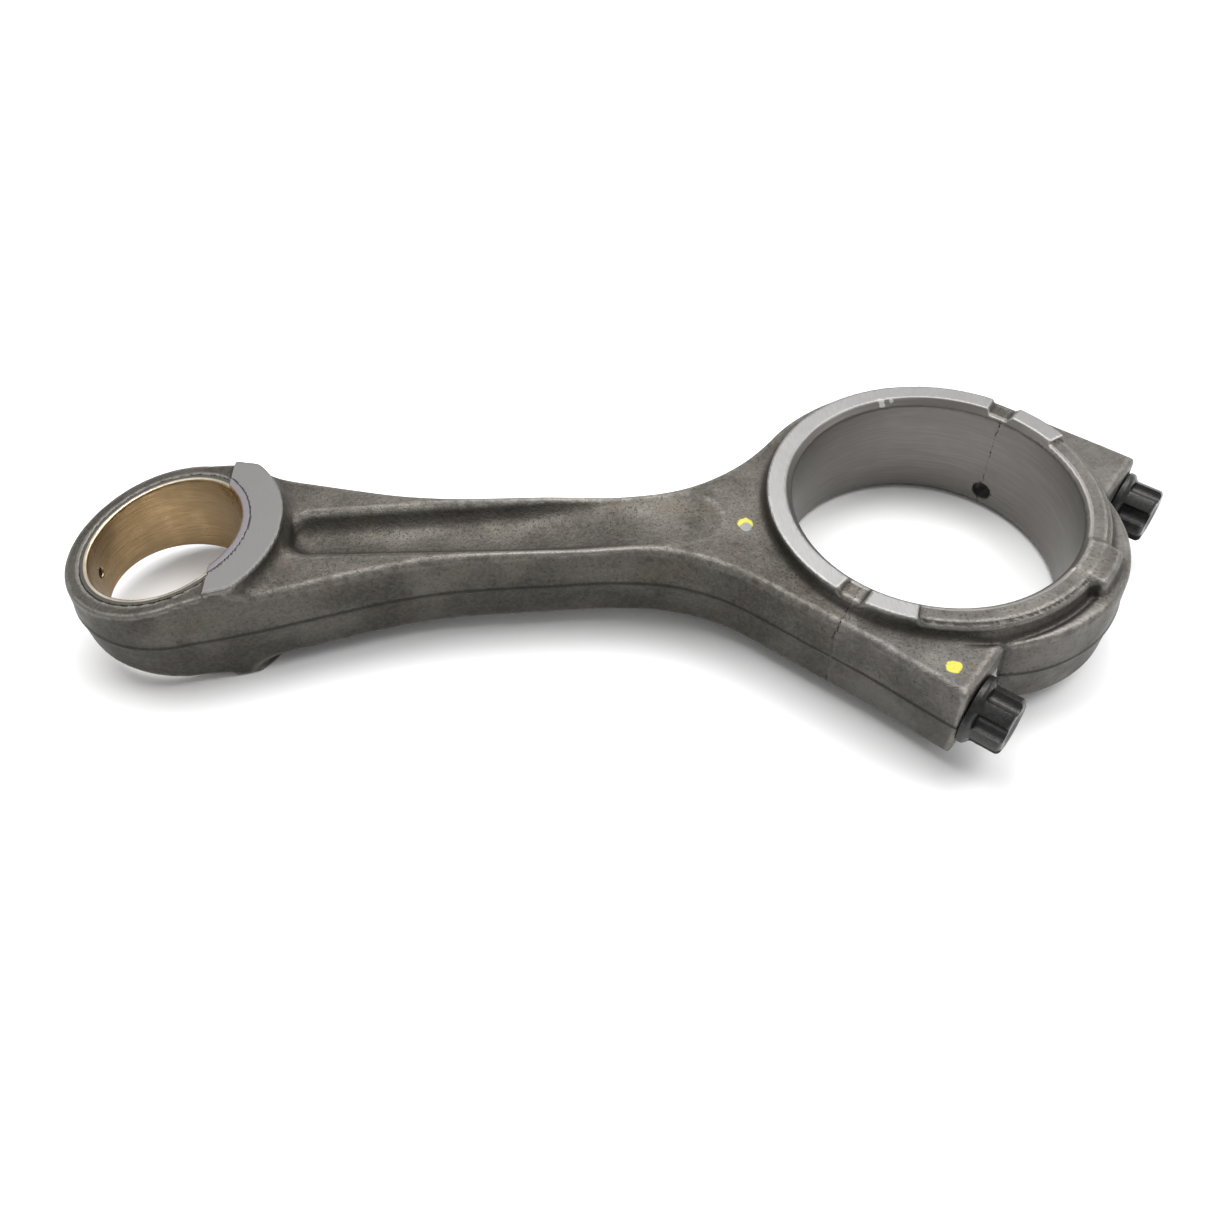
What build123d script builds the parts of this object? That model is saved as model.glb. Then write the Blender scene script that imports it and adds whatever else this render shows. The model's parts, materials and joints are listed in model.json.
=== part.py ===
from build123d import *
import os
from math import acos, cos, sin, tan, degrees, radians

# Diesel connecting rod, fracture-split at an angle, lying on its side.
# Frame: origin at the centre of the big-end bore on the mid-plane, +Z along
# both bores, +X from the small end towards the cap. Millimetres.

os.makedirs("parts", exist_ok=True)

# ---- driving dimensions ----
centre_distance = 192.0
machined_half = 16.0        # half thickness over the ground side faces
collar_half = 14.8          # collar where it isn't ground
rib_half = 15.2             # half thickness over the cap's unground rib
forged_half = 11.4          # half thickness of shank, bosses and cap ledge
draft = 3.0                 # forging draft each side of the mid-plane, degrees
edge_radius = 2.6           # soft top and bottom edges of the forging

big_bore_r = 35.5
bore_chamfer = 1.6
bore_chamfer_height = 1.8
ring_r = 42.0               # outer radius of the ground thrust ring
rib_r = 41.0                # outer radius of the cap rib
foot_r = 44.2               # where the foot of ring and rib meets the forging
big_outer_r = 47.5

split_angle = 50.5          # split plane measured from the rod axis
ring_ends = (57.5, 224.4)   # ground ring on the rod, angles about the bore
pad_far = (28.3, 46.9)      # ground pads on the cap
pad_near = (-125.0, -108.6)
bridge = (-44.0, -27.0)     # full height bridge across the cap ledge

boss_half_width = 47.6      # bolt bosses beside the split
seat_half_width = 48.9      # near boss, flared towards its seat
seat_distance = 33.6        # bolt seats from the split plane
cap_crown_r = 36.8          # back of the cap, centred past the split
cap_crown_centre = 11.8
bolt_offset = 41.2
spotface_r = 11.0
bolt_hole_d = 10.14
thread_hole_d = 10.12
thread_hole_depth = 12.0

small_bore_r = 20.0
bush_outer_r = 22.0
eye_r = 26.2
crescent_r = 30.0
crescent_half = 23.6        # half length of the ground flat
taper_start = 14.6          # flat face ends this far past the small-end centre
taper_step = 1.4            # the sloped face starts this much lower
taper_angle = 10.0

waist_half_width = 10.9
waist_x = -96.0
neck_half_width = 17.3      # close to the small end
neck_x = -150.0
bridge_r = 46.2             # outer radius of the bridge
channel_depth = 4.0
channel_half_small = 5.6
channel_half_big = 8.6
channel_start = -155.5
channel_end = -66.0
channel_slope = 2.0

bolt_thread_d = 10.0
bolt_shank_d = 9.2
bolt_reach = 10.8           # thread past the split plane
flange_r = 8.5
flange_h = 2.6
head_r = 7.1
head_flute_r = 2.15
head_h = 7.0

pin_hole_d = 5.2            # locating hole for the bearing shell
oil_hole_d = 4.0

# ---- helpers ----
ux = sin(radians(split_angle))
uy = -cos(radians(split_angle))
vx = cos(radians(split_angle))
vy = sin(radians(split_angle))
bolt_dir = Vector(ux, uy, 0)
side_dir = Vector(vx, vy, 0)


def at(s, v, z=0.0):
    """Point s along the bolts and v along the split."""
    return Vector(s * ux + v * vx, s * uy + v * vy, z)


def axis_plane(s, v, z=0.0):
    """Plane square to the bolts at (s, v)."""
    return Plane(origin=at(s, v, z), x_dir=side_dir, z_dir=bolt_dir)


def polar(r, a):
    return (r * cos(radians(a)), r * sin(radians(a)))


def both_ways(face, height, taper=0.0, soft=0.0):
    """Extrude a plan face up and down from the mid-plane, drafted, with soft edges."""
    up = extrude(face, amount=height, dir=(0, 0, 1), taper=taper)
    if soft > 0:
        rim = up.edges().filter_by(lambda e: abs(abs(e.center().Z) - height) < 0.01)
        up = fillet(rim, soft)
    return up + mirror(up, Plane.XY)


def sector(a0, a1, r_out, height):
    """Pie slice about the big-end bore, used to limit ring stretches."""
    steps = 12
    pts = [(0, 0)]
    for i in range(steps + 1):
        pts.append(polar(r_out, a0 + (a1 - a0) * i / steps))
    return extrude(make_face(Polyline(*pts, close=True)), amount=height, both=True)


def collar(outer, top):
    """Ring round the big-end bore: flat top, steep side, round foot."""
    r0 = big_bore_r - 2
    foot_top = forged_half + (foot_r - outer) * 0.9
    knee = (outer + 0.15, foot_top)
    end = (foot_r, forged_half)
    mid = (outer + (foot_r - outer) * 0.38, forged_half + (foot_top - forged_half) * 0.36)
    side = Line((outer, top), knee)
    foot = ThreePointArc(knee, mid, end)
    rest = Polyline(end, (foot_r, 0), (r0, 0), (r0, top), (outer, top))
    face = make_face(Curve() + [side, foot, rest])
    up = revolve(Plane.XZ * face, Axis.Z, 360)
    return up + mirror(up, Plane.XY)


def half_space(side):
    """Big block on the rod side (-1) or cap side (+1) of the split."""
    block = Box(300, 400, 100)
    frame = Plane(origin=at(side * 150, 0), x_dir=bolt_dir, z_dir=(0, 0, 1))
    return frame * block


# ---- plan outlines ----
def shank_outline():
    """One closed outline from the small end to the big end."""
    sx = -centre_distance
    far_join = Vector(*polar(big_outer_r, 141))
    far_tan = (sin(radians(141)), -cos(radians(141)))
    near_join = at(-22.0, -boss_half_width)
    eye_far = Vector(sx + eye_r * cos(radians(61)), eye_r * sin(radians(61)))
    eye_near = Vector(eye_far.X, -eye_far.Y)
    eye_tan = (sin(radians(61)), -cos(radians(61)))
    narrow = waist_x - 33
    far = Spline(eye_far, (neck_x, neck_half_width), (narrow, waist_half_width + 1.7),
                 (waist_x, waist_half_width), far_join, tangents=[eye_tan, far_tan])
    near = Spline(eye_near, (neck_x, -neck_half_width), (narrow, -waist_half_width - 1.7),
                  (waist_x, -waist_half_width), near_join,
                  tangents=[(eye_tan[0], -eye_tan[1]), (ux, uy)])
    left = Polyline(eye_far, (sx, 0), eye_near)
    right = Polyline(far_join, (0, 0), near_join)
    return make_face(Curve() + [far, near, left, right])


def rod_outline():
    corner = at(-12.5, boss_half_width)
    corner_angle = 180 - Vector(corner.X, corner.Y).get_angle(Vector(-1, 0, 0))
    touch = corner_angle + degrees(acos(big_outer_r / corner.length))
    bosses = make_face(Polyline(
        at(0, -boss_half_width), at(0, boss_half_width), corner,
        polar(big_outer_r, touch), (0, 0), at(-22, -boss_half_width), close=True))
    plan = shank_outline() + Circle(big_outer_r) + bosses
    plan += Pos(-centre_distance, 0) * Circle(eye_r)
    keep = Plane(origin=at(-150, 0), x_dir=bolt_dir, z_dir=(0, 0, 1)) * Rectangle(300, 400)
    return plan & keep


def cap_outline():
    bosses = make_face(Polyline(
        at(0, -boss_half_width), at(8, -boss_half_width),
        at(seat_distance, -seat_half_width),
        at(seat_distance, boss_half_width), at(0, boss_half_width), close=True))
    crown = Pos(*at(cap_crown_centre, 0)) * Circle(cap_crown_r)
    keep = Plane(origin=at(150, 0), x_dir=bolt_dir, z_dir=(0, 0, 1)) * Rectangle(300, 400)
    return (crown & keep) + bosses


# ---- cutting tools ----
def big_bore():
    tool = Cylinder(big_bore_r, 60)
    cone = Cone(big_bore_r, big_bore_r + bore_chamfer, bore_chamfer_height)
    top = Pos(0, 0, machined_half - bore_chamfer_height / 2) * cone
    over = Pos(0, 0, machined_half + 2) * Cylinder(big_bore_r + bore_chamfer, 4)
    return tool + top + over + mirror(top + over, Plane.XY)


def bolt_holes(diameter, s0, s1):
    tools = Part()
    for side in (-1, 1):
        mid = axis_plane((s0 + s1) / 2, side * bolt_offset)
        tools += mid * Cylinder(diameter / 2, s1 - s0)
    return tools


def pin_hole():
    """Radial hole in the far bore wall, on the split."""
    a = split_angle - 0.7
    base = Vector(*polar(big_bore_r + 1.0, a), -10.4)
    plane = Plane(origin=base, x_dir=(0, 0, 1), z_dir=(cos(radians(a)), sin(radians(a)), 0))
    return plane * Cylinder(pin_hole_d / 2, 8.0)


def oil_hole():
    """Oil hole through the crown of the small end into the bush."""
    base = Plane(origin=(-centre_distance - 24, 0, 0), x_dir=(0, 1, 0), z_dir=(-1, 0, 0))
    return base * Cylinder(oil_hole_d / 2, 20)


def taper_wedges():
    """Blocks that slope both faces of the small end away to its crown."""
    hinge = (-centre_distance + taper_start, 0, machined_half - taper_step)
    block = Pos(-60, 0, 20) * Box(120, 120, 40)
    top = Pos(*hinge) * Rot(0, -taper_angle, 0) * block
    return top + mirror(top, Plane.XY)


def channel():
    """Shallow I-beam channel that fades out into the big-end shoulder."""
    a = Pos(channel_start, 0) * Circle(channel_half_small)
    b = Pos(channel_end, 0) * Circle(channel_half_big)
    web = make_face(Polyline(
        (channel_start, -channel_half_small), (channel_end, -channel_half_big),
        (channel_end, channel_half_big), (channel_start, channel_half_small), close=True))
    floor = forged_half - channel_depth
    plan = Pos(0, 0, floor) * (a + b + web)
    tool = extrude(plan, amount=5.0, taper=-28)
    hinge = Pos(channel_start, 0, floor)
    tool = hinge * Rot(0, -channel_slope, 0) * hinge.inverse() * tool
    return tool + mirror(tool, Plane.XY)


# ---- sub-parts ----
def small_end():
    eye = both_ways(Circle(eye_r), machined_half, draft)
    flat = both_ways(Circle(crescent_r), machined_half, draft)
    flat &= Pos(taper_start + 20, 0, 0) * Box(40, 2 * crescent_half, 60)
    eye = Pos(-centre_distance, 0, 0) * eye - taper_wedges()
    return eye + Pos(-centre_distance, 0, 0) * flat


def rod_forging():
    web = both_ways(rod_outline(), forged_half, draft, edge_radius)
    web -= channel()
    web -= taper_wedges()
    ring = collar(ring_r, machined_half) & sector(*ring_ends, 80, 40)
    low = collar(ring_r, collar_half) & half_space(-1)
    body = web + small_end() + low + ring
    body &= half_space(-1)
    body -= big_bore()
    body -= Pos(-centre_distance, 0, 0) * Cylinder(bush_outer_r, 60)
    body -= bolt_holes(thread_hole_d, -thread_hole_depth, 5)
    body -= pin_hole()
    body -= oil_hole()
    return body


def bearing_cap():
    web = both_ways(cap_outline(), forged_half, draft, edge_radius)
    rib = collar(rib_r, rib_half)
    rib -= sector(pad_far[1], split_angle + 10, 80, 40)
    rib -= sector(-split_angle - 90, pad_near[0], 80, 40)
    low = collar(ring_r, collar_half)
    pads = collar(ring_r, machined_half)
    pads = (pads & sector(*pad_far, 80, 40)) + (pads & sector(*pad_near, 80, 40))
    crown = Pos(*at(cap_crown_centre, 0)) * Circle(cap_crown_r)
    block = crown & Circle(bridge_r)
    block = both_ways(block, rib_half, draft) & sector(*bridge, 80, 40)
    body = web + (rib & half_space(1)) + (low & half_space(1)) + pads + block
    body &= half_space(1)
    body -= big_bore()
    for side in (-1, 1):
        seat = axis_plane(seat_distance + 15, side * bolt_offset)
        body -= seat * Cylinder(spotface_r, 30)
    body -= bolt_holes(bolt_hole_d, -5, seat_distance + 5)
    body -= pin_hole()
    return body


def small_end_bush():
    sleeve = Cylinder(bush_outer_r - 0.01, 2 * machined_half) - Cylinder(small_bore_r, 60)
    body = Pos(-centre_distance, 0, 0) * sleeve
    body -= taper_wedges()
    body -= oil_hole()
    return body


def cap_bolt(side):
    shank = Cylinder(bolt_shank_d / 2, seat_distance + bolt_reach - 1)
    shank = Pos(0, 0, -(seat_distance + bolt_reach - 1) / 2) * shank
    thread_len = bolt_reach + 6
    thread = Pos(0, 0, -seat_distance - bolt_reach + thread_len / 2)
    thread = thread * Cylinder(bolt_thread_d / 2, thread_len)
    thread = chamfer(thread.edges().group_by(Axis.Z)[0], 0.8)
    collar_top = Pos(0, 0, -3) * Cylinder(bolt_thread_d / 2, 6)
    flange = Pos(0, 0, flange_h / 2) * Cylinder(flange_r, flange_h)
    flange = chamfer(flange.edges().group_by(Axis.Z)[-1], length=0.9, length2=2.2)
    head = Pos(0, 0, flange_h + head_h / 2 - 0.5) * Cylinder(head_r, head_h + 1)
    head = chamfer(head.edges().group_by(Axis.Z)[-1], 0.8)
    for i in range(6):
        a = radians(60 * i + 30)
        reach = head_r + 0.55
        flute = Pos(reach * cos(a), reach * sin(a), flange_h + 6) * Cylinder(head_flute_r, 10)
        head -= flute
    bolt = shank + thread + collar_top + flange + head
    return axis_plane(seat_distance, side * bolt_offset) * bolt


parts = {
    "rod_forging": rod_forging(),
    "small_end_bush": small_end_bush(),
    "bearing_cap": bearing_cap(),
    "cap_bolt_near": cap_bolt(-1),
    "cap_bolt_far": cap_bolt(1),
}

for name, shape in parts.items():
    solids = shape.solids()
    bb = shape.bounding_box()
    print(name, len(solids), round(shape.volume), bb.min, bb.max)
    export_step(shape, f"parts/{name}.step")
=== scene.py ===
import json
import math

import bmesh
import bpy
import numpy as np
import openvdb
from mathutils import Matrix, Vector


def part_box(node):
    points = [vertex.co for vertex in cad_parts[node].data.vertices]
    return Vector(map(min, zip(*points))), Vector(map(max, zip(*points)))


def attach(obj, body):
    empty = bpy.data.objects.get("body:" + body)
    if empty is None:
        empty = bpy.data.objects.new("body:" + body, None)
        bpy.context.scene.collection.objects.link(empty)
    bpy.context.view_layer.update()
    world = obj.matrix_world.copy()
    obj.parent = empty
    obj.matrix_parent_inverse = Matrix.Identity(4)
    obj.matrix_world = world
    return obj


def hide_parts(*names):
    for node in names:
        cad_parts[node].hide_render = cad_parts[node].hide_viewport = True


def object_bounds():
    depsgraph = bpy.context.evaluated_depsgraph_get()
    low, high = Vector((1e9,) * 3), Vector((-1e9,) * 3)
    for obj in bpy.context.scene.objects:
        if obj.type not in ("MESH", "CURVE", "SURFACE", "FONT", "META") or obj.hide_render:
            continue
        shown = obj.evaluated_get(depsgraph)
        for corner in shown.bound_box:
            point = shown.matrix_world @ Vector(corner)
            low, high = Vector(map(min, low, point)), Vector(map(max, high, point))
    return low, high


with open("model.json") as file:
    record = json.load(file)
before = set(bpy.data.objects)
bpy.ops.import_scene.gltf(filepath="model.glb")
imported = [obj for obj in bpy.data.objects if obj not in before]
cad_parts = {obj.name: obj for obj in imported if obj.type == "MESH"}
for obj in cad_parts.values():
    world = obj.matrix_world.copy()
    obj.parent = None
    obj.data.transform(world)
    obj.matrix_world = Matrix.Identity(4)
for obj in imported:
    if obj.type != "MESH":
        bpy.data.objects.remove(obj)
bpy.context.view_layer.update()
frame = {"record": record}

# positions come from the frame, everything else is worked out in millimetres
mounts = {m["name"]: m for m in frame["record"]["mounts"]}
splitAngle = math.radians(50.5)
ux, uy = math.sin(splitAngle), -math.cos(splitAngle)
vx, vy = math.cos(splitAngle), math.sin(splitAngle)
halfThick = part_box("rod_forging")[1][2] * 1000
eyeX = mounts["small_end_bore"]["pos_m"][0] * 1000
boreR = mounts["big_end_bore"]["dims"]["r_mm"]
boltV = 41.2  # bolt axes from the middle of the bore, along the split
locatingHole = (49.8, -10.4, 2.6)  # direction in degrees, height, radius
tan3 = math.tan(math.radians(3))


# every shape below is a field in millimetres: negative inside, zero on the surface, positive outside

# rounded intersection: the larger field, with a quarter circle of radius r where both meet
def roundMax(a, b, r):
    return np.minimum(np.maximum(a, b), -r) + np.hypot(np.maximum(a + r, 0), np.maximum(b + r, 0))


# rounded union: the smaller field, with a fillet of radius r in the corner
def roundMin(a, b, r):
    return -roundMax(-a, -b, r)


# 0 to 1 between two values, with level ends
def smooth(lo, hi, x):
    t = np.clip((x - lo) / (hi - lo), 0, 1)
    return t * t * (3 - 2 * t)


# sum of a few fixed sine waves in three directions, about -1 to 1
def ripple(x, y, z, scale, seed):
    rng = np.random.default_rng(seed)
    total = 0
    for k in range(5):
        d = rng.normal(size=3)
        d = d / np.linalg.norm(d) * scale * (0.7 + 0.35 * k)
        total = total + np.sin(d[0] * x + d[1] * y + d[2] * z + rng.uniform(0, 6.28)) / (1 + 0.5 * k)
    return total / 2.2


# the point's components along the bolts and along the split, from the middle of the bore
def alongSplit(x, y):
    return x * ux + y * uy, x * vx + y * vy


# slopes of the smooth curve through the stations, with both end slopes given
def stationSlopes(xs, ys, first, last):
    n = len(xs)
    a = np.zeros((n, n))
    b = np.zeros(n)
    a[0, 0], b[0], a[-1, -1], b[-1] = 1, first, 1, last
    for i in range(1, n - 1):
        h0, h1 = xs[i] - xs[i - 1], xs[i + 1] - xs[i]
        a[i, i - 1:i + 2] = 1 / h0, 2 / h0 + 2 / h1, 1 / h1
        b[i] = 3 * ((ys[i] - ys[i - 1]) / h0 ** 2 + (ys[i + 1] - ys[i]) / h1 ** 2)
    return np.linalg.solve(a, b)


# cubic through the stations, carried on straight past both ends: value and slope
def stationCurve(x, xs, ys, first, last):
    m = stationSlopes(xs, ys, first, last)
    i = np.clip(np.searchsorted(xs, x) - 1, 0, len(xs) - 2)
    xs, ys = np.asarray(xs), np.asarray(ys)
    h = xs[i + 1] - xs[i]
    t = np.clip((x - xs[i]) / h, 0, 1)
    a, b = ys[i], ys[i + 1]
    value = (a * (1 + 2 * t) * (1 - t) ** 2 + b * t * t * (3 - 2 * t)
             + h * m[i] * t * (1 - t) ** 2 - h * m[i + 1] * t * t * (1 - t))
    slope = (6 * (b - a) / h * t * (1 - t) + m[i] * (1 - t) * (1 - 3 * t) - m[i + 1] * t * (2 - 3 * t))
    return value + slope * (x - np.clip(x, xs[0], xs[-1])), slope


# signed distance to the line through p and q, positive on the left of p to q
def leftOf(x, y, p, q):
    d = np.array(q) - np.array(p)
    d = d / np.linalg.norm(d)
    return (y - p[1]) * d[0] - (x - p[0]) * d[1]


# the reverse of alongSplit for one point
def at(s, v):
    return (s * ux + v * vx, s * uy + v * vy)


# point at radius r in a direction in degrees
def turned(r, deg):
    return (r * math.cos(math.radians(deg)), r * math.sin(math.radians(deg)))


# the fracture meanders from the flat split by three crossed sine waves, 0.34 at most
def fractureShift(v, z):
    broad = 0.16 * np.sin(0.9 * v + 0.5 * z)
    middle = 0.12 * np.sin(2.3 * v - 1.1 * z + 1)
    return broad + middle + 0.06 * np.sin(4.7 * v + 2.9 * z)


forging = {
    "half": 11.4, "bigR": 47.5, "bossHalf": 47.6, "edge": 2.0,
    "ringR": 42.0, "ringEnds": (57.5, 224.4), "lowHalf": 14.8, "foot": 2.1,
    "eyeR": 26.2, "seatR": 22.0, "flatR": 30.0, "hinge": 14.6, "step": 1.4, "taper": 10.0,
    "shankX": (-186.0, -176.0, -150.0, -129.0, -96.0), "shankHalf": (25.2, 23.6, 17.3, 12.6, 10.9),
    "farEnd": (-36.9, 29.9, 1.235), "nearEnd": (-47.3, 22.7, 0.824),
    "channel": (-155.5, -63.0, 5.6, 8.4), "channelDepth": 4.6,
}


# plan: eye, tapering shank, round big end and the two bosses, joined softly
def rodPlan(x, y):
    p = forging
    s, v = alongSplit(x, y)
    big = np.hypot(x, y) - p["bigR"]
    shank = np.maximum(p["shankX"][0] - x, x - p["farEnd"][0])
    for sign, (ex, ey, slope) in ((1, p["farEnd"]), (-1, p["nearEnd"])):
        w, dw = stationCurve(x, p["shankX"] + (ex,), p["shankHalf"] + (ey,), -0.1, slope)
        shank = np.maximum(shank, (sign * y - w) / np.sqrt(1 + dw * dw))
    corner = at(-12.5, p["bossHalf"])
    tangent = math.acos(p["bigR"] / math.hypot(*corner))
    touch = turned(p["bigR"], math.degrees(math.atan2(corner[1], corner[0]) + tangent))
    far = roundMax(v - p["bossHalf"], -leftOf(x, y, corner, touch), 4)
    far = np.maximum(np.maximum(far, -v), leftOf(x, y, (0, 0), touch))
    near = np.maximum(-v - p["bossHalf"], -leftOf(x, y, (0, 0), at(-22, -p["bossHalf"])))
    near = np.maximum(near, v)
    eye = np.hypot(x - eyeX, y) - p["eyeR"]
    plan = np.minimum(big, np.minimum(far, near))
    plan = np.minimum(plan, shank)
    return np.minimum(plan, eye)


# a collar round the bore whose height changes with the angle
def collar(x, y, z, outer, height, edge):
    return roundMax(np.hypot(x, y) - outer + 0.03 * (np.abs(z) - 11), np.abs(z) - height, edge)


# bore with its chamfer on both faces
def boreCut(body, x, y, z):
    r = np.hypot(x, y)
    cone = (boreR + (np.abs(z) - halfThick + 1.8) * 1.6 / 1.8 - r) * 0.747
    return roundMax(body, roundMax(boreR - r, cone, 0.15), 0.22)


# direction from the middle of the bore, 0 to 360 degrees
def degreesAbout(x, y):
    return np.degrees(np.arctan2(y, x)) % 360


# plan with 3 degrees of draft from the middle height, less a thin bell-shaped flash line, plus small dents
def wall(plan, x, y, z):
    flash = 0.26 * np.exp(-(z / 0.5) ** 2)
    dents = 0.10 * ripple(x, y, z, 0.11, 3) + 0.05 * ripple(x, y, z, 0.37, 5)
    return plan + np.abs(z) * tan3 - flash + dents - 0.1


# both small-end faces: planes that fall away from the hinge line by the taper angle, after one step down
def smallEndTop(x, z):
    p = forging
    slope = math.radians(p["taper"])
    drop = (eyeX + p["hinge"] - x) * math.tan(slope)
    return (np.abs(z) - halfThick + p["step"] + drop) * math.cos(slope)


# round hole that runs outwards from the middle of the bore in one direction
def radialHole(x, y, z, deg, height, r):
    a = math.radians(deg)
    across = -x * math.sin(a) + y * math.cos(a)
    behind = -(x * math.cos(a) + y * math.sin(a))
    return np.maximum(np.hypot(across, z - height) - r, behind)


# trough with a round floor that climbs to the big end and fades out: negative where metal is missing
def channelCut(x, y, az):
    p = forging
    x0, x1, w0, w1 = p["channel"]
    width = w0 + (w1 - w0) * np.clip((x - x0) / (x1 - x0), 0, 1)
    edge = np.hypot(np.maximum(np.maximum(x0 - x, x - x1), 0), y) - width
    depth = p["channelDepth"] * (1 - smooth(-108, -57, x)) + 0.1
    floor = p["half"] - depth + 1.1 * np.clip(np.abs(y) / width, 0, 1.2) ** 2
    return roundMax(edge * 0.87 + np.maximum(p["half"] - az, -0.6) * 0.5 - 1.2, floor - az, 1.5)


# web with its channel, the raised small end cut by two slopes, and the ring and collar round the bore
def rodBody(x, y, z):
    p = forging
    az = np.abs(z)
    side = wall(rodPlan(x, y), x, y, z)
    rEye = np.hypot(x - eyeX, y)
    top = az - p["half"] + 0.10 * ripple(x, y, 0 * z, 0.12, 7) * smooth(4, 8, az)
    raised = roundMax(rEye - p["flatR"] + 0.05 * (az - halfThick), az - halfThick, 0.3)
    top = roundMin(top, raised, 3.4)
    body = roundMax(side, top, 0.8 + (p["edge"] - 0.8) * smooth(29, 37, rEye))
    missing = roundMax(channelCut(x, y, az), p["flatR"] + 0.9 - rEye, 0.8)
    body = roundMax(body, -missing, 1.5)
    sloped = np.where(x < eyeX + p["hinge"], smallEndTop(x, z), -9.0)
    body = roundMax(body, sloped, 0.8)
    deg = degreesAbout(x, y)
    ground = smooth(p["ringEnds"][0] - 2.2, p["ringEnds"][0] + 0.4, deg)
    ground = ground * (1 - smooth(p["ringEnds"][1] - 0.4, p["ringEnds"][1] + 2.2, deg))
    height = p["lowHalf"] + (halfThick - p["lowHalf"]) * ground
    body = roundMin(body, collar(x, y, z, p["ringR"], height, 0.4 + 0.9 * (1 - ground)), p["foot"])
    body = roundMax(body, p["seatR"] - rEye, 0.15)
    body = boreCut(body, x, y, z)
    s, v = alongSplit(x, y)
    threads = np.maximum(np.hypot(np.abs(v) - boltV, z) - 5.06, -12.0 - s)
    body = np.maximum(body, -threads)
    body = roundMax(body, -radialHole(x, y, z, *locatingHole), 0.2)
    oil = np.maximum(np.hypot(y, z) - 1.5, x - eyeX)
    return roundMax(body, -oil, 0.3)


# keeps the shank's side of the fracture
def rodCut(x, y, z):
    s, v = alongSplit(x, y)
    return s - fractureShift(v, z) - 0.03


capPart = {
    "crownR": 36.8, "crownS": 11.8, "seatS": 33.6, "bossHalf": 47.6, "seatHalf": 48.9,
    "ribR": 41.0, "ribHalf": 15.2, "lowHalf": 14.8, "bridge": (-44.0, -27.0), "bridgeR": 45.6,
    "padFar": (28.3, 46.9), "padNear": (235.0, 251.4), "trench": (-96.0, -45.0),
    "spotR": 11.0, "holeR": 5.07,
}


# crown and bosses of even thickness, rib, two ground pads, bridge, seats and bolt holes
def capBody(x, y, z):
    p, f = capPart, forging
    az = np.abs(z)
    s, v = alongSplit(x, y)
    crown = np.hypot(s - p["crownS"], v) - p["crownR"]
    flare = p["bossHalf"] + (p["seatHalf"] - p["bossHalf"]) * smooth(6, p["seatS"], s)
    half = np.where(v < 0, flare, p["bossHalf"])
    boss = roundMax(np.abs(v) - half, s - p["seatS"], 1.2)
    plan = np.minimum(np.maximum(crown, -s), boss)
    deg = degreesAbout(x, y)
    signed = (deg + 180) % 360 - 180
    first, last = p["trench"]
    inTrench = smooth(first, first + 12, signed) * (1 - smooth(last, last + 1, signed))
    trench = 1.1 * inTrench * np.exp(-((np.hypot(x, y) - 43.3) / 1.2) ** 2)
    top = az - f["half"] + trench + 0.08 * ripple(x, y, 0 * z, 0.12, 9)
    body = roundMax(wall(plan, x, y, z), top, f["edge"])
    onBridge = smooth(p["bridge"][0] - 1.5, p["bridge"][0] + 1.5, signed)
    onBridge = onBridge * (1 - smooth(p["bridge"][1] - 1.5, p["bridge"][1] + 1.5, signed))
    rib = collar(x, y, z, p["ribR"], p["ribHalf"], 0.9)
    block = roundMax(np.maximum(np.hypot(x, y) - p["bridgeR"], crown) + 0.04 * az, az - p["ribHalf"], 1.6)
    arc = np.radians(np.maximum(p["bridge"][0] - signed, signed - p["bridge"][1])) * 43
    block = roundMax(block, arc, 1.2)
    onPad = 0
    for a, b in (p["padFar"], p["padNear"]):
        onPad = onPad + smooth(a - 2.0, a + 0.4, deg) * (1 - smooth(b - 0.4, b + 2.0, deg))
    beyond = smooth(46.9, 47.5, signed) + smooth(-124.5, -125.5, signed)
    pads = collar(x, y, z, f["ringR"], p["lowHalf"] + (halfThick - p["lowHalf"]) * onPad, 0.4 + 0.9 * (1 - onPad))
    rib = rib + 4 * np.clip(beyond, 0, 1)
    body = roundMin(body, np.minimum(rib, pads), 2.0)
    body = roundMin(body, block, 1.8)
    seats = np.maximum(np.hypot(np.abs(v) - boltV, z) - p["spotR"], p["seatS"] - s)
    body = roundMax(body, -seats, 0.3)
    body = boreCut(body, x, y, z)
    body = np.maximum(body, p["holeR"] - np.hypot(np.abs(v) - boltV, z))
    return roundMax(body, -radialHole(x, y, z, *locatingHole), 0.2)


# keeps the cap's side of the same fracture
def capCut(x, y, z):
    s, v = alongSplit(x, y)
    return -s + fractureShift(v, z) - 0.03


bush = {"outer": 21.99, "inner": 20.0, "edge": 0.5}


# tube with both ends following the sloped small end
def bushField(x, y, z):
    p = bush
    r = np.hypot(x - eyeX, y)
    high = np.maximum(np.abs(z) - halfThick, eyeX + forging["hinge"] - x)
    low = np.maximum(smallEndTop(x, z), x - eyeX - forging["hinge"] - 0.3)
    ends = np.minimum(high, low)
    body = roundMax(r - p["outer"], ends, 0.12)
    body = roundMax(body, p["inner"] - r, p["edge"])
    oil = np.maximum(np.hypot(y, z) - 1.3, x - eyeX)
    return roundMax(body, -oil, 0.3)


# for a piece that isn't split
def noCut(x, y, z):
    return x * 0 - 99.0


# direction in which a field grows fastest, from differences along the three axes
def slopeOf(field, p):
    h = 0.04
    c = np.stack([field(*(p + h * e).T) - field(*(p - h * e).T) for e in np.eye(3)], 1)
    return c / np.maximum(np.linalg.norm(c, axis=1, keepdims=True), 1e-6)


# points moved along that direction until the field is zero
def pulled(field, p, step):
    return p - np.clip(field(*p.T)[:, None], -step, step) * slopeOf(field, p)


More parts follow.
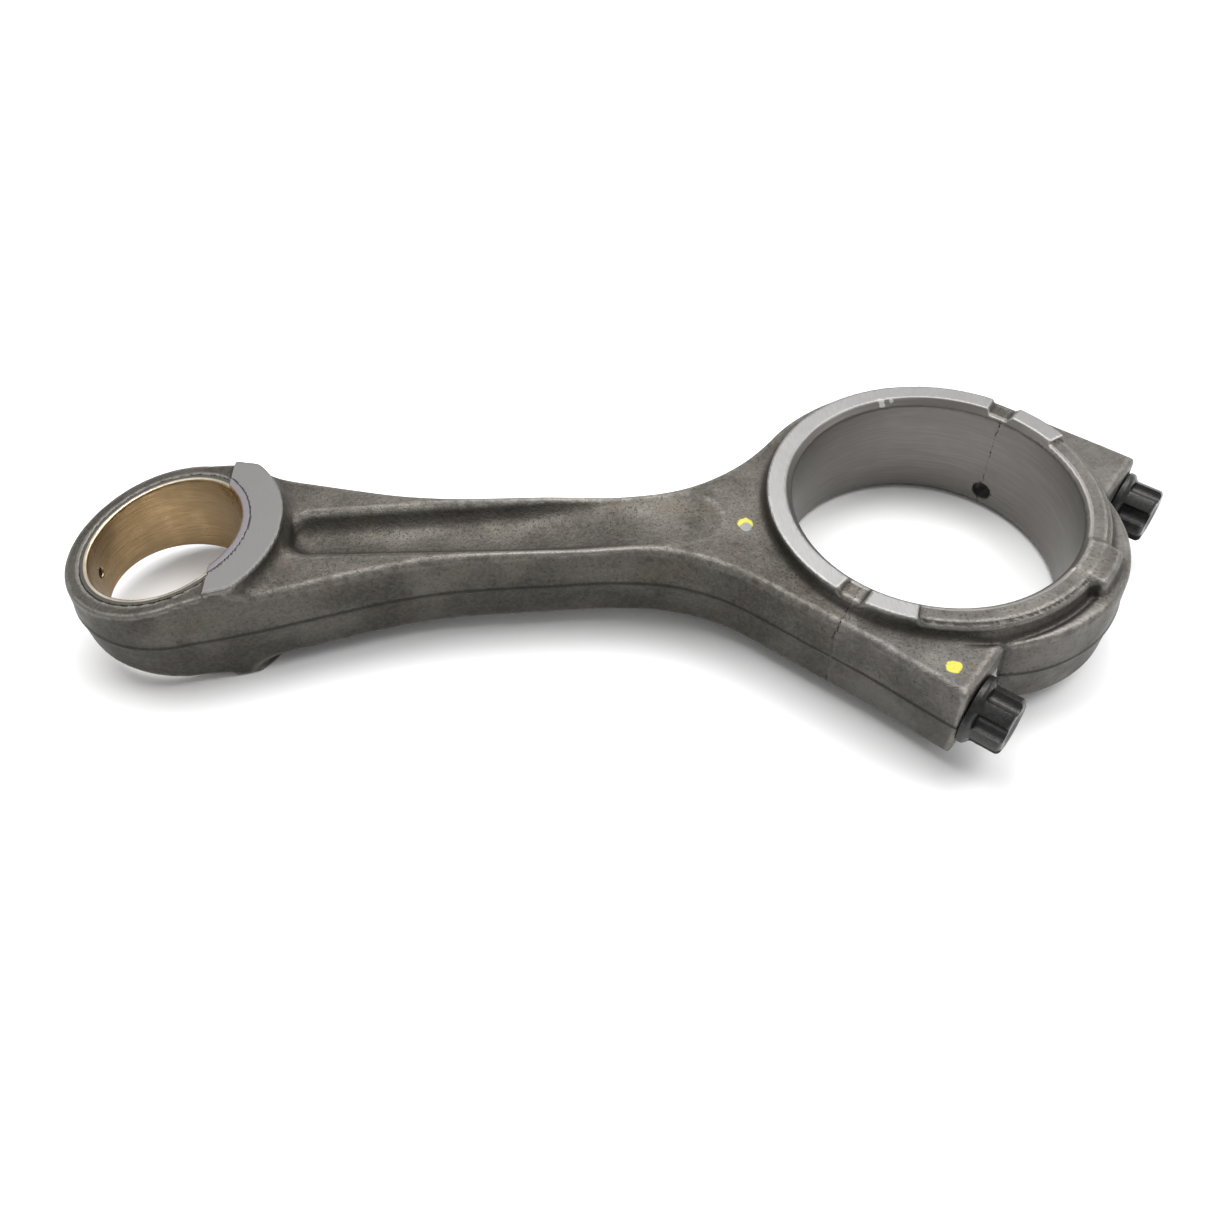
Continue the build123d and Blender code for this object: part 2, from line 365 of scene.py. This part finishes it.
# the field sampled on a regular grid is turned into quads, then every point is pulled on to the field's zero
# and given the field's own direction as normal; bend is the sum of the second differences, high on sharp edges
def surfaceOf(name, outer, cut, lo, hi, step):
    def field(x, y, z):
        return np.maximum(outer(x, y, z), cut(x, y, z))
    axes = [np.arange(a - 1.5 * step, b + 2 * step, step) for a, b in zip(lo, hi)]
    grid = np.empty([len(a) for a in axes], np.float32)
    for i in range(0, len(axes[0]), 64):
        x, y, z = np.meshgrid(axes[0][i:i + 64], axes[1], axes[2], indexing="ij")
        grid[i:i + 64] = field(x, y, z)
    volume = openvdb.FloatGrid(4 * step)
    volume.copyFromArray(np.clip(grid, -4 * step, 4 * step))
    points, tris, quads = volume.convertToPolygons(0.0, 0.0)
    points = points.astype(float) * step + [a[0] for a in axes]
    for k in range(3):
        points = pulled(field, points, step)
    # points next to the cut go exactly on to its edge, so both halves meet in a hairline
    near = (np.abs(cut(*points.T)) < 0.5 * step) & (np.abs(outer(*points.T)) < 0.5 * step)
    rim = points[near]
    for k in range(4):
        rim = pulled(outer, pulled(cut, rim, step), step)
    points[near] = rim
    normals = slopeOf(field, points)
    normals[near] = slopeOf(outer, rim)
    reach = 1.2
    bend = sum(outer(*(points + reach * e).T) + outer(*(points - reach * e).T) for e in np.eye(3))
    bend = (bend - 6 * outer(*points.T)) / reach
    bend = np.where(np.abs(outer(*points.T)) < 0.1, bend, 0)
    mesh = bpy.data.meshes.new(name)
    mesh.from_pydata((points * 0.001).tolist(), [], quads.tolist() + tris.tolist())
    mesh.validate()
    mesh.polygons.foreach_set("use_smooth", np.ones(len(mesh.polygons), bool))
    torn = (outer(*points.T) < -0.15).astype(float)
    for label, values in (("edge", np.clip(bend, 0, 1)), ("hollow", np.clip(-bend, 0, 1)), ("torn", torn)):
        layer = mesh.attributes.new(label, "FLOAT", "POINT")
        layer.data.foreach_set("value", values.astype(np.float32))
    mesh.normals_split_custom_set_from_vertices(normals.tolist())
    piece = bpy.data.objects.new(name, mesh)
    bpy.context.scene.collection.objects.link(piece)
    print(name, len(points), "points", len(quads), "quads", flush=True)
    return piece


# a CAD node's box in millimetres
def boxOf(node):
    lo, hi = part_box(node)
    return [c * 1000 for c in lo], [c * 1000 for c in hi]


coarse = 0.64
print("forging", flush=True)
rod = surfaceOf("forgedRod", rodBody, rodCut, *boxOf("rod_forging"), coarse)
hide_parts("rod_forging")
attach(rod, "rod")

print("cap", flush=True)
cap = surfaceOf("capBody", capBody, capCut, *boxOf("bearing_cap"), coarse)
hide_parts("bearing_cap")
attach(cap, "cap")

print("bush", flush=True)
sleeve = surfaceOf("bushSleeve", bushField, noCut, *boxOf("small_end_bush"), 0.38)
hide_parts("small_end_bush")
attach(sleeve, "rod")

bolt = {
    "seat": 33.6, "reach": 10.8, "thread": 5.0, "shank": 4.6, "pitch": 1.25, "threadLength": 16.8,
    "flangeR": 8.5, "flangeH": 2.6, "headR": 7.1, "headH": 7.0, "fluteR": 2.15, "fluteOut": 0.55,
}


# profile radius carried round the bolt axis; six round flutes bite into the head, where the flute circle
# r = reach cos a - sqrt(fluteR squared - (reach sin a) squared) lies inside it, and a helix into the thread
def boltMesh(name, side):
    p = bolt
    total = p["flangeH"] + p["headH"]
    end = -p["seat"] - p["reach"]
    threadTop = end + p["threadLength"]
    heights = [end, end]
    radii = [0.0, 4.0]
    zs = np.linspace(end + 0.02, threadTop, 240)
    heights += list(zs) + [threadTop + 0.8, -6.6, -6.0, 0.0, 0.0, 0.25, 1.1, 1.5, 2.25, p["flangeH"]]
    radii += [p["thread"]] * len(zs) + [p["shank"], p["shank"], p["thread"], p["thread"]]
    radii += [8.2, p["flangeR"], p["flangeR"], 8.35, 7.45, 7.15]
    top = [(p["flangeH"] + 0.25, p["headR"]), (total - 1.1, p["headR"]), (total - 0.75, p["headR"] - 0.06),
           (total - 0.35, p["headR"] - 0.35), (total - 0.08, p["headR"] - 0.85), (total, p["headR"] - 1.35),
           (total - 0.02, 4.4), (total - 0.12, 4.0), (total - 0.5, 3.2), (total - 0.62, 2.6), (total - 0.66, 1.2),
           (total - 0.66, 0.0)]
    heights += [a for a, b in top]
    radii += [b for a, b in top]
    heights, radii = np.array(heights), np.array(radii)
    turns = 240
    angle = np.linspace(0, 2 * np.pi, turns, endpoint=False)
    z, a = np.meshgrid(heights, angle, indexing="ij")
    r = np.repeat(radii[:, None], turns, 1)
    phase = (z / p["pitch"] - a / (2 * np.pi)) % 1
    depth = 0.62 * (1 - np.clip(np.abs(phase - 0.5) * 2.6 - 0.15, 0, 1))
    fade = smooth(end, end + 1.2, z) * (1 - smooth(threadTop - 1.5, threadTop, z))
    inThread = (z <= threadTop) & (r > 4.5)
    taper = 0.9 * (1 - smooth(end, end + 1.0, z))
    r = np.where(inThread, r - depth * fade - taper, r)
    off = a % (np.pi / 3) - np.pi / 6
    reach = p["headR"] + p["fluteOut"]
    inner = np.maximum(p["fluteR"] ** 2 - (reach * np.sin(off)) ** 2, 0)
    bite = np.where(inner > 0, reach * np.cos(off) - np.sqrt(inner), 99.0)
    head = np.array([h > p["flangeH"] - 0.05 for h in heights])[:, None] & (r > 4.6)
    r = np.where(head, np.minimum(r, bite), r)
    x = p["seat"] + z
    v = side * boltV + r * np.cos(a)
    up = r * np.sin(a)
    points = np.stack([x * ux + v * vx, x * uy + v * vy, up], -1).reshape(-1, 3) * 0.001
    rows, cols = z.shape
    i = np.arange(rows - 1)[:, None] * cols
    j = np.arange(cols)[None]
    k = (j + 1) % cols
    quads = np.stack([i + j, i + k, i + cols + k, i + cols + j], -1).reshape(-1, 4)
    mesh = bpy.data.meshes.new(name)
    mesh.from_pydata(points.tolist(), [], quads[:, ::-1].tolist())
    bm = bmesh.new()
    bm.from_mesh(mesh)
    bmesh.ops.remove_doubles(bm, verts=bm.verts, dist=1e-6)
    bmesh.ops.recalc_face_normals(bm, faces=bm.faces)
    bm.to_mesh(mesh)
    bm.free()
    mesh.polygons.foreach_set("use_smooth", np.ones(len(mesh.polygons), bool))
    mesh.set_sharp_from_angle(angle=math.radians(38))
    piece = bpy.data.objects.new(name, mesh)
    bpy.context.scene.collection.objects.link(piece)
    print(name, len(mesh.vertices), "points", flush=True)
    return piece


print("bolts", flush=True)
boltPieces = []
for label, side in (("near", -1), ("far", 1)):
    piece = boltMesh(label + "CapBolt", side)
    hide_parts("cap_bolt_" + label)
    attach(piece, "bolt_" + label)
    boltPieces.append(piece)


def newTree(name):
    mat = bpy.data.materials.new(name)
    mat.use_nodes = True
    tree = mat.node_tree
    tree.nodes.clear()
    out = tree.nodes.new("ShaderNodeOutputMaterial")
    shade = tree.nodes.new("ShaderNodeBsdfPrincipled")
    tree.links.new(shade.outputs[0], out.inputs[0])
    return mat, tree, shade


def plug(tree, value, socket):
    if isinstance(value, bpy.types.NodeSocket):
        tree.links.new(value, socket)
    else:
        socket.default_value = value


def maths(tree, op, *values):
    node = tree.nodes.new("ShaderNodeMath")
    node.operation = op
    for i, value in enumerate(values):
        plug(tree, value, node.inputs[i])
    return node.outputs[0]


def ramp(tree, value, lo, hi, a=0.0, b=1.0):
    node = tree.nodes.new("ShaderNodeMapRange")
    node.interpolation_type = "SMOOTHSTEP"
    for socket, v in zip(node.inputs[:5], (value, lo, hi, a, b)):
        plug(tree, v, socket)
    return node.outputs[0]


def mixColor(tree, factor, a, b):
    node = tree.nodes.new("ShaderNodeMix")
    node.data_type = "RGBA"
    plug(tree, factor, node.inputs[0])
    plug(tree, a, node.inputs[6])
    plug(tree, b, node.inputs[7])
    return node.outputs[2]


def mixValue(tree, factor, a, b):
    node = tree.nodes.new("ShaderNodeMix")
    plug(tree, factor, node.inputs[0])
    plug(tree, a, node.inputs[2])
    plug(tree, b, node.inputs[3])
    return node.outputs[0]


def noise(tree, where, scale, detail=4.0, rough=0.55):
    node = tree.nodes.new("ShaderNodeTexNoise")
    plug(tree, where, node.inputs["Vector"])
    plug(tree, scale, node.inputs["Scale"])
    node.inputs["Detail"].default_value = detail
    node.inputs["Roughness"].default_value = rough
    return node.outputs["Fac"]


def objectCoords(tree):
    return tree.nodes.new("ShaderNodeTexCoord").outputs["Object"]


def attribute(tree, name):
    node = tree.nodes.new("ShaderNodeAttribute")
    node.attribute_name = name
    return node.outputs["Fac"]


def makeGroup(name, inputs, outputs):
    group = bpy.data.node_groups.new(name, "ShaderNodeTree")
    for label, kind, default in inputs:
        socket = group.interface.new_socket(label, in_out="INPUT", socket_type=kind)
        if default is not None:
            socket.default_value = default
    for label, kind in outputs:
        group.interface.new_socket(label, in_out="OUTPUT", socket_type=kind)
    return group, group.nodes.new("NodeGroupInput"), group.nodes.new("NodeGroupOutput")


def useGroup(tree, group, **values):
    node = tree.nodes.new("ShaderNodeGroup")
    node.node_tree = group
    for label, value in values.items():
        plug(tree, value, node.inputs[label])
    return node.outputs


def axesOf(tree, where):
    node = tree.nodes.new("ShaderNodeSeparateXYZ")
    tree.links.new(where, node.inputs[0])
    return node.outputs


def radiusFrom(tree, axes, cx, cy):
    dx = maths(tree, "SUBTRACT", axes[0], cx)
    dy = maths(tree, "SUBTRACT", axes[1], cy)
    squares = maths(tree, "ADD", maths(tree, "MULTIPLY", dx, dx), maths(tree, "MULTIPLY", dy, dy))
    return maths(tree, "SQRT", squares), dx, dy


# blasted forging skin: mottled colour, fine pits, and their height
def skinGroup():
    g, a, b = makeGroup("forgedSkin", (
        ("Where", "NodeSocketVector", None), ("Dark", "NodeSocketColor", (0.05, 0.05, 0.05, 1)),
        ("Light", "NodeSocketColor", (0.1, 0.1, 0.1, 1)), ("Tint", "NodeSocketColor", (0.1, 0.08, 0.05, 1)),
        ("TintAmount", "NodeSocketFloat", 0.3)),
        (("Color", "NodeSocketColor"), ("Rough", "NodeSocketFloat"), ("Height", "NodeSocketFloat")))
    where = a.outputs["Where"]
    cloud = ramp(g, noise(g, where, 55.0, 5.0, 0.6), 0.36, 0.64)
    grain = ramp(g, noise(g, where, 900.0, 3.0, 0.7), 0.35, 0.65)
    stain = ramp(g, noise(g, where, 130.0, 4.0, 0.65), 0.52, 0.68)
    pits = ramp(g, noise(g, where, 1500.0, 2.0, 0.6), 0.42, 0.3)
    color = mixColor(g, cloud, a.outputs["Dark"], a.outputs["Light"])
    color = mixColor(g, maths(g, "MULTIPLY", stain, a.outputs["TintAmount"]), color, a.outputs["Tint"])
    color = mixColor(g, maths(g, "MULTIPLY", grain, 0.16), color, (0.2, 0.19, 0.175, 1))
    color = mixColor(g, maths(g, "MULTIPLY", pits, 0.4), color, (0.02, 0.018, 0.016, 1))
    g.links.new(color, b.inputs["Color"])
    g.links.new(mixValue(g, cloud, 0.6, 0.48), b.inputs["Rough"])
    high = maths(g, "ADD", maths(g, "MULTIPLY", grain, 0.5), maths(g, "MULTIPLY", cloud, 0.6))
    high = maths(g, "SUBTRACT", high, maths(g, "MULTIPLY", pits, 0.7))
    g.links.new(high, b.inputs["Height"])
    return g


# fine lines left by grinding or turning: stretched noise along one direction of the given coordinates
def linesGroup():
    g, a, b = makeGroup("toolLines", (
        ("Where", "NodeSocketVector", None), ("Stretch", "NodeSocketVector", (1, 1, 1)),
        ("Scale", "NodeSocketFloat", 400.0)),
        (("Lines", "NodeSocketFloat"), ("Patches", "NodeSocketFloat")))
    scaled = g.nodes.new("ShaderNodeVectorMath")
    scaled.operation = "MULTIPLY"
    g.links.new(a.outputs["Where"], scaled.inputs[0])
    g.links.new(a.outputs["Stretch"], scaled.inputs[1])
    lines = noise(g, scaled.outputs[0], a.outputs["Scale"], 3.0, 0.6)
    patches = noise(g, a.outputs["Where"], 70.0, 3.0, 0.5)
    g.links.new(ramp(g, lines, 0.3, 0.7), b.inputs["Lines"])
    g.links.new(ramp(g, patches, 0.35, 0.65), b.inputs["Patches"])
    return g


# polished high edges, and painted shade darkening corners and hollows, both broken up by noise
def wearAndShadeGroup():
    g, a, b = makeGroup("edgeWearAndShade", (
        ("Where", "NodeSocketVector", None), ("Edge", "NodeSocketFloat", 0.0), ("Hollow", "NodeSocketFloat", 0.0)),
        (("Worn", "NodeSocketFloat"), ("CornerShade", "NodeSocketFloat")))
    broken = noise(g, a.outputs["Where"], 420.0, 5.0, 0.75)
    worn = maths(g, "MULTIPLY", a.outputs["Edge"], ramp(g, broken, 0.4, 0.6, 0.55, 1.0))
    g.links.new(ramp(g, worn, 0.08, 0.85), b.inputs["Worn"])
    # painted shade: hollows darkened where shade falls in them
    cornerShade = maths(g, "MULTIPLY", a.outputs["Hollow"], ramp(g, broken, 0.3, 0.6, 0.6, 1.0))
    g.links.new(ramp(g, cornerShade, 0.1, 0.6), b.inputs["CornerShade"])
    return g


# ground faces, bored wall and chamfer, bolt seats, the split face, the flash line and the hairline of the split
def zonesGroup():
    masks = ("Ground", "Bored", "Seat", "SplitFace", "Flash", "Crack", "SmallEnd")
    g, a, b = makeGroup("steelZones", (("Where", "NodeSocketVector", None),),
                        tuple((label, "NodeSocketFloat") for label in masks))
    where = a.outputs["Where"]
    axes = axesOf(g, where)
    radius, dx, dy = radiusFrom(g, axes, 0.0, 0.0)
    high = maths(g, "ABSOLUTE", axes[2])
    along = maths(g, "ADD", maths(g, "MULTIPLY", axes[0], ux), maths(g, "MULTIPLY", axes[1], uy))
    across = maths(g, "ADD", maths(g, "MULTIPLY", axes[0], vx), maths(g, "MULTIPLY", axes[1], vy))
    g.links.new(ramp(g, high, 0.01578, 0.01588), b.inputs["Ground"])
    cone = maths(g, "MULTIPLY", ramp(g, radius, 0.0373, 0.0371), ramp(g, high, 0.0140, 0.01425))
    g.links.new(maths(g, "MAXIMUM", ramp(g, radius, 0.03575, 0.03562), cone), b.inputs["Bored"])
    aside = maths(g, "SUBTRACT", maths(g, "ABSOLUTE", across), boltV * 0.001)
    squares = maths(g, "ADD", maths(g, "MULTIPLY", aside, aside), maths(g, "MULTIPLY", axes[2], axes[2]))
    near = ramp(g, maths(g, "SQRT", squares), 0.01118, 0.01108)
    g.links.new(maths(g, "MULTIPLY", near, ramp(g, along, 0.0334, 0.03352)), b.inputs["Seat"])
    g.links.new(ramp(g, maths(g, "ABSOLUTE", along), 0.00045, 0.0003), b.inputs["SplitFace"])
    flash = maths(g, "MULTIPLY", ramp(g, axes[2], -0.0007, -0.0001), ramp(g, axes[2], 0.0009, 0.0003))
    g.links.new(flash, b.inputs["Flash"])
    wander = maths(g, "MULTIPLY", maths(g, "SUBTRACT", noise(g, where, 240.0, 3.0), 0.5), 0.0011)
    crack = maths(g, "ABSOLUTE", maths(g, "ADD", along, wander))
    g.links.new(ramp(g, crack, 0.00013, 0.00003), b.inputs["Crack"])
    g.links.new(ramp(g, axes[0], -0.150, -0.155), b.inputs["SmallEnd"])
    return g


# round dab of colour with an uneven rim: for real paint dots, and for painted glints
def dabGroup():
    g, a, b = makeGroup("paintAndGlintDab", (
        ("Where", "NodeSocketVector", None), ("Centre", "NodeSocketVector", None),
        ("Radius", "NodeSocketFloat", 0.002)),
        (("Mask", "NodeSocketFloat"),))
    gap = g.nodes.new("ShaderNodeVectorMath")
    gap.operation = "DISTANCE"
    g.links.new(a.outputs["Where"], gap.inputs[0])
    g.links.new(a.outputs["Centre"], gap.inputs[1])
    rim = maths(g, "MULTIPLY", maths(g, "SUBTRACT", noise(g, a.outputs["Where"], 900.0, 2.0), 0.5), 0.0012)
    inside = maths(g, "SUBTRACT", a.outputs["Radius"], maths(g, "ADD", gap.outputs["Value"], rim))
    g.links.new(ramp(g, inside, -0.00015, 0.00015), b.inputs["Mask"])
    return g


skin, lines, wearAndShade, zones, dab = skinGroup(), linesGroup(), wearAndShadeGroup(), zonesGroup(), dabGroup()


# radius, angle and height as a vector, so that lines can run round the bore
def roundCoords(tree, radius, dx, dy, z):
    turn = maths(tree, "ARCTAN2", dy, dx)
    node = tree.nodes.new("ShaderNodeCombineXYZ")
    for value, socket in zip((radius, maths(tree, "MULTIPLY", turn, 0.036), z), node.inputs):
        plug(tree, value, socket)
    return node.outputs[0]


# rod and cap are one forged steel; the cap's copy is set lighter as painted light, standing for the brighter light
# falling on the cap
steel = {
    "forged_steel": {"dark": (0.048, 0.0435, 0.037, 1), "light": (0.080, 0.074, 0.063, 1),
                     "tint": (0.068, 0.050, 0.032, 1)},
    "cap_steel": {"dark": (0.066, 0.061, 0.055, 1), "light": (0.108, 0.101, 0.092, 1),
                  "tint": (0.086, 0.068, 0.049, 1)},
}


# forging skin with wear and painted shade in its hollows, machined faces, torn split face, and a list of dabs:
# centre, radius, colour
def steelMaterial(name, look, dots):
    mat, tree, shade = newTree(name)
    where = objectCoords(tree)
    axes = axesOf(tree, where)
    base = useGroup(tree, skin, Where=where, Dark=look["dark"], Light=look["light"], Tint=look["tint"])
    worn = useGroup(tree, wearAndShade, Where=where, Edge=attribute(tree, "edge"), Hollow=attribute(tree, "hollow"))
    radius, dx, dy = radiusFrom(tree, axes, 0.0, 0.0)
    around = roundCoords(tree, radius, dx, dy, axes[2])
    zone = useGroup(tree, zones, Where=where)
    ground, bored, smallEnd = zone["Ground"], zone["Bored"], zone["SmallEnd"]
    face = useGroup(tree, lines, Where=where, Stretch=(1.0, 0.08, 1.0), Scale=4200.0)
    bore = useGroup(tree, lines, Where=around, Stretch=(0.2, 0.03, 1.0), Scale=2600.0)
    faceColor = mixColor(tree, face["Lines"], (0.205, 0.202, 0.197, 1), (0.245, 0.242, 0.236, 1))
    faceColor = mixColor(tree, maths(tree, "MULTIPLY", face["Patches"], 0.4), faceColor, (0.195, 0.192, 0.188, 1))
    faceColor = mixColor(tree, smallEnd, faceColor, mixColor(tree, 0.8, faceColor, (0.134, 0.127, 0.128, 1)))
    boreColor = mixColor(tree, bore["Lines"], (0.16, 0.151, 0.141, 1), (0.20, 0.19, 0.178, 1))
    boreColor = mixColor(tree, maths(tree, "MULTIPLY", bore["Patches"], 0.5), boreColor, (0.16, 0.148, 0.138, 1))
    color = mixColor(tree, maths(tree, "MULTIPLY", worn["Worn"], 0.5), base["Color"], (0.30, 0.285, 0.262, 1))
    # painted shade: corners and hollows mixed towards near black
    color = mixColor(tree, maths(tree, "MULTIPLY", worn["CornerShade"], 0.6), color, (0.035, 0.03, 0.026, 1))
    color = mixColor(tree, maths(tree, "MULTIPLY", zone["Flash"], 0.8), color, (0.018, 0.016, 0.014, 1))
    color = mixColor(tree, ground, color, faceColor)
    color = mixColor(tree, bored, color, boreColor)
    color = mixColor(tree, maths(tree, "MULTIPLY", zone["Crack"], 0.3), color, (0.03, 0.027, 0.025, 1))
    # bolt seats: bare machined steel, painted much brighter than the other machined faces as a painted highlight
    # on walls facing away from the lamps
    color = mixColor(tree, zone["Seat"], color, (0.6, 0.59, 0.57, 1))
    machined = maths(tree, "MAXIMUM", maths(tree, "MAXIMUM", ground, bored), zone["Seat"])
    rough = mixValue(tree, machined, base["Rough"], mixValue(tree, smallEnd, 0.42, 0.58))
    torn = maths(tree, "MULTIPLY", zone["SplitFace"], attribute(tree, "torn"))
    crystal = noise(tree, where, 1800.0, 3.0, 0.8)
    color = mixColor(tree, torn, color, mixColor(tree, crystal, (0.12, 0.115, 0.11, 1), (0.4, 0.39, 0.38, 1)))
    rough = mixValue(tree, torn, rough, 0.6)
    metal = 0.85
    for centre, size, dabColor in dots:
        mask = useGroup(tree, dab, Where=where, Centre=centre, Radius=size)["Mask"]
        color = mixColor(tree, mask, color, dabColor)
        metal = mixValue(tree, mask, metal, 0.0)
    plug(tree, color, shade.inputs["Base Color"])
    plug(tree, rough, shade.inputs["Roughness"])
    plug(tree, metal, shade.inputs["Metallic"])
    bump = tree.nodes.new("ShaderNodeBump")
    bump.inputs["Distance"].default_value = 0.00012
    fine = mixValue(tree, ground, base["Height"], maths(tree, "MULTIPLY", face["Lines"], 0.05))
    fine = mixValue(tree, bored, fine, maths(tree, "MULTIPLY", bore["Lines"], 0.08))
    fine = mixValue(tree, torn, fine, maths(tree, "MULTIPLY", crystal, 2.5))
    plug(tree, fine, bump.inputs["Height"])
    bump.inputs["Strength"].default_value = 0.7
    tree.links.new(bump.outputs[0], shade.inputs["Normal"])
    return mat


yellow = (0.47, 0.43, 0.035, 1)
print("materials", flush=True)
rod.data.materials.append(steelMaterial("forgedSteel", steel["forged_steel"], [
    ((-0.0475, -0.0029, 0.0114), 0.0018, yellow),
    ((-0.0475, -0.0041, 0.0114), 0.0014, (0.2, 0.2, 0.19, 1)),
    ((-0.0306, -0.0362, 0.0062), 0.0006, (0.006, 0.006, 0.006, 1)),
    # three pale dabs on the bore chamfer: painted glints
    ((-0.0072, 0.0362, 0.0157), 0.0009, (0.36, 0.35, 0.34, 1)),
    ((-0.0070, 0.0355, 0.0149), 0.0008, (0.34, 0.33, 0.32, 1)),
    ((-0.0045, 0.0365, 0.0156), 0.0006, (0.32, 0.31, 0.30, 1)),
]))
# the cap's lighter steel is painted light, for the brighter light on the cap's side
cap.data.materials.append(steelMaterial("capSteelPaintedLighter", steel["cap_steel"], [
    ((-0.0063, -0.0499, 0.0114), 0.0018, yellow), ((-0.0306, -0.0362, 0.0062), 0.0006, (0.006, 0.006, 0.006, 1)),
]))


# turned bronze, with a pale rim and a dark backing ring on the sloped ends
def bronzeMaterial():
    mat, tree, shade = newTree("bushBronze")
    where = objectCoords(tree)
    axes = axesOf(tree, where)
    radius, dx, dy = radiusFrom(tree, axes, eyeX * 0.001, 0.0)
    around = roundCoords(tree, radius, dx, dy, axes[2])
    marks = useGroup(tree, lines, Where=around, Stretch=(0.2, 0.04, 1.0), Scale=2400.0)
    color = mixColor(tree, marks["Lines"], (0.30, 0.205, 0.105, 1), (0.42, 0.30, 0.165, 1))
    color = mixColor(tree, maths(tree, "MULTIPLY", marks["Patches"], 0.55), color, (0.27, 0.2, 0.115, 1))
    rim = ramp(tree, radius, 0.0202, 0.0205)
    flatSide = ramp(tree, axes[0], (eyeX + 14.5) * 0.001, (eyeX + 14.7) * 0.001)
    rimColor = mixColor(tree, flatSide, (0.62, 0.57, 0.47, 1), (0.17, 0.16, 0.17, 1))
    color = mixColor(tree, rim, color, rimColor)
    backing = maths(tree, "MULTIPLY", ramp(tree, radius, 0.02085, 0.02105), maths(tree, "SUBTRACT", 1.0, flatSide))
    color = mixColor(tree, backing, color, (0.10, 0.093, 0.083, 1))
    plug(tree, color, shade.inputs["Base Color"])
    rough = mixValue(tree, marks["Patches"], 0.26, 0.38)
    dull = maths(tree, "MAXIMUM", backing, maths(tree, "MULTIPLY", rim, flatSide))
    plug(tree, mixValue(tree, dull, rough, 0.62), shade.inputs["Roughness"])
    shade.inputs["Metallic"].default_value = 1.0
    bump = tree.nodes.new("ShaderNodeBump")
    bump.inputs["Distance"].default_value = 0.00004
    bump.inputs["Strength"].default_value = 0.5
    plug(tree, marks["Lines"], bump.inputs["Height"])
    tree.links.new(bump.outputs[0], shade.inputs["Normal"])
    return mat


sleeve.data.materials.append(bronzeMaterial())


# black oxide over the same skin
def boltMaterial():
    mat, tree, shade = newTree("boltBlack")
    where = objectCoords(tree)
    base = useGroup(tree, skin, Where=where, Dark=(0.009, 0.0085, 0.008, 1), Light=(0.022, 0.020, 0.019, 1),
                    Tint=(0.04, 0.035, 0.03, 1))
    color = mixColor(tree, 0.55, base["Color"], (0.012, 0.012, 0.013, 1))
    plug(tree, color, shade.inputs["Base Color"])
    plug(tree, maths(tree, "SUBTRACT", base["Rough"], 0.18), shade.inputs["Roughness"])
    shade.inputs["Metallic"].default_value = 0.45
    bump = tree.nodes.new("ShaderNodeBump")
    bump.inputs["Distance"].default_value = 0.00005
    bump.inputs["Strength"].default_value = 0.5
    plug(tree, base["Height"], bump.inputs["Height"])
    tree.links.new(bump.outputs[0], shade.inputs["Normal"])
    return mat


blackBolt = boltMaterial()
for piece in boltPieces:
    piece.data.materials.append(blackBolt)


def makeFloor():
    size, z = 6.0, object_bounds()[0][2] - 0.00005
    mesh = bpy.data.meshes.new("floor")
    mesh.from_pydata([(-size, -size, z), (size, -size, z), (size, size, z), (-size, size, z)], [], [(0, 1, 2, 3)])
    floor = bpy.data.objects.new("floor", mesh)
    bpy.context.scene.collection.objects.link(floor)
    mat, tree, shade = newTree("paleFloor")
    shade.inputs["Base Color"].default_value = (0.9, 0.9, 0.9, 1)
    shade.inputs["Roughness"].default_value = 0.8
    mesh.materials.append(mat)


def areaLight(name, place, target, size, power):
    data = bpy.data.lights.new(name, "AREA")
    data.shape = "RECTANGLE"
    data.size, data.size_y = size
    data.energy = power
    lamp = bpy.data.objects.new(name, data)
    lamp.location = place
    lamp.rotation_euler = (Vector(target) - Vector(place)).to_track_quat("-Z", "Y").to_euler()
    bpy.context.scene.collection.objects.link(lamp)


def lookCamera():
    view = {"az": -0.1213, "el": 49.5, "roll": -2.2715, "target": (-0.08264, -0.01859, 0.0), "distance": 0.28698,
            "lens": 34.51}
    az, el, roll = (math.radians(view[k]) for k in ("az", "el", "roll"))
    back = Vector((math.sin(az) * math.cos(el), -math.cos(az) * math.cos(el), math.sin(el)))
    right = -back.cross(Vector((0, 0, 1))).normalized()
    up = back.cross(right)
    right, up = right * math.cos(roll) + up * math.sin(roll), up * math.cos(roll) - right * math.sin(roll)
    place = Vector(view["target"]) + back * view["distance"]
    data = bpy.data.cameras.new("camera")
    data.lens = view["lens"]
    data.clip_start = 0.01
    camera = bpy.data.objects.new("camera", data)
    camera.matrix_world = Matrix.Translation(place) @ Matrix((right, up, back)).transposed().to_4x4()
    bpy.context.scene.collection.objects.link(camera)
    bpy.context.scene.camera = camera


makeFloor()
areaLight("key", (-0.22, 0.32, 0.85), (-0.08, 0, 0), (0.9, 0.6), 10.5)
areaLight("fill", (0.5, 0.1, 0.7), (-0.02, 0, 0), (0.6, 0.6), 6)
areaLight("back", (0.15, 0.8, 0.45), (-0.06, 0, 0), (1.0, 0.5), 1.6)
world = bpy.data.worlds.new("studio")
world.use_nodes = True
world.node_tree.nodes["Background"].inputs[0].default_value = (1, 1, 1, 1)
world.node_tree.nodes["Background"].inputs[1].default_value = 0.5
bpy.context.scene.world = world
bpy.context.scene.view_settings.view_transform = "Standard"
lookCamera()
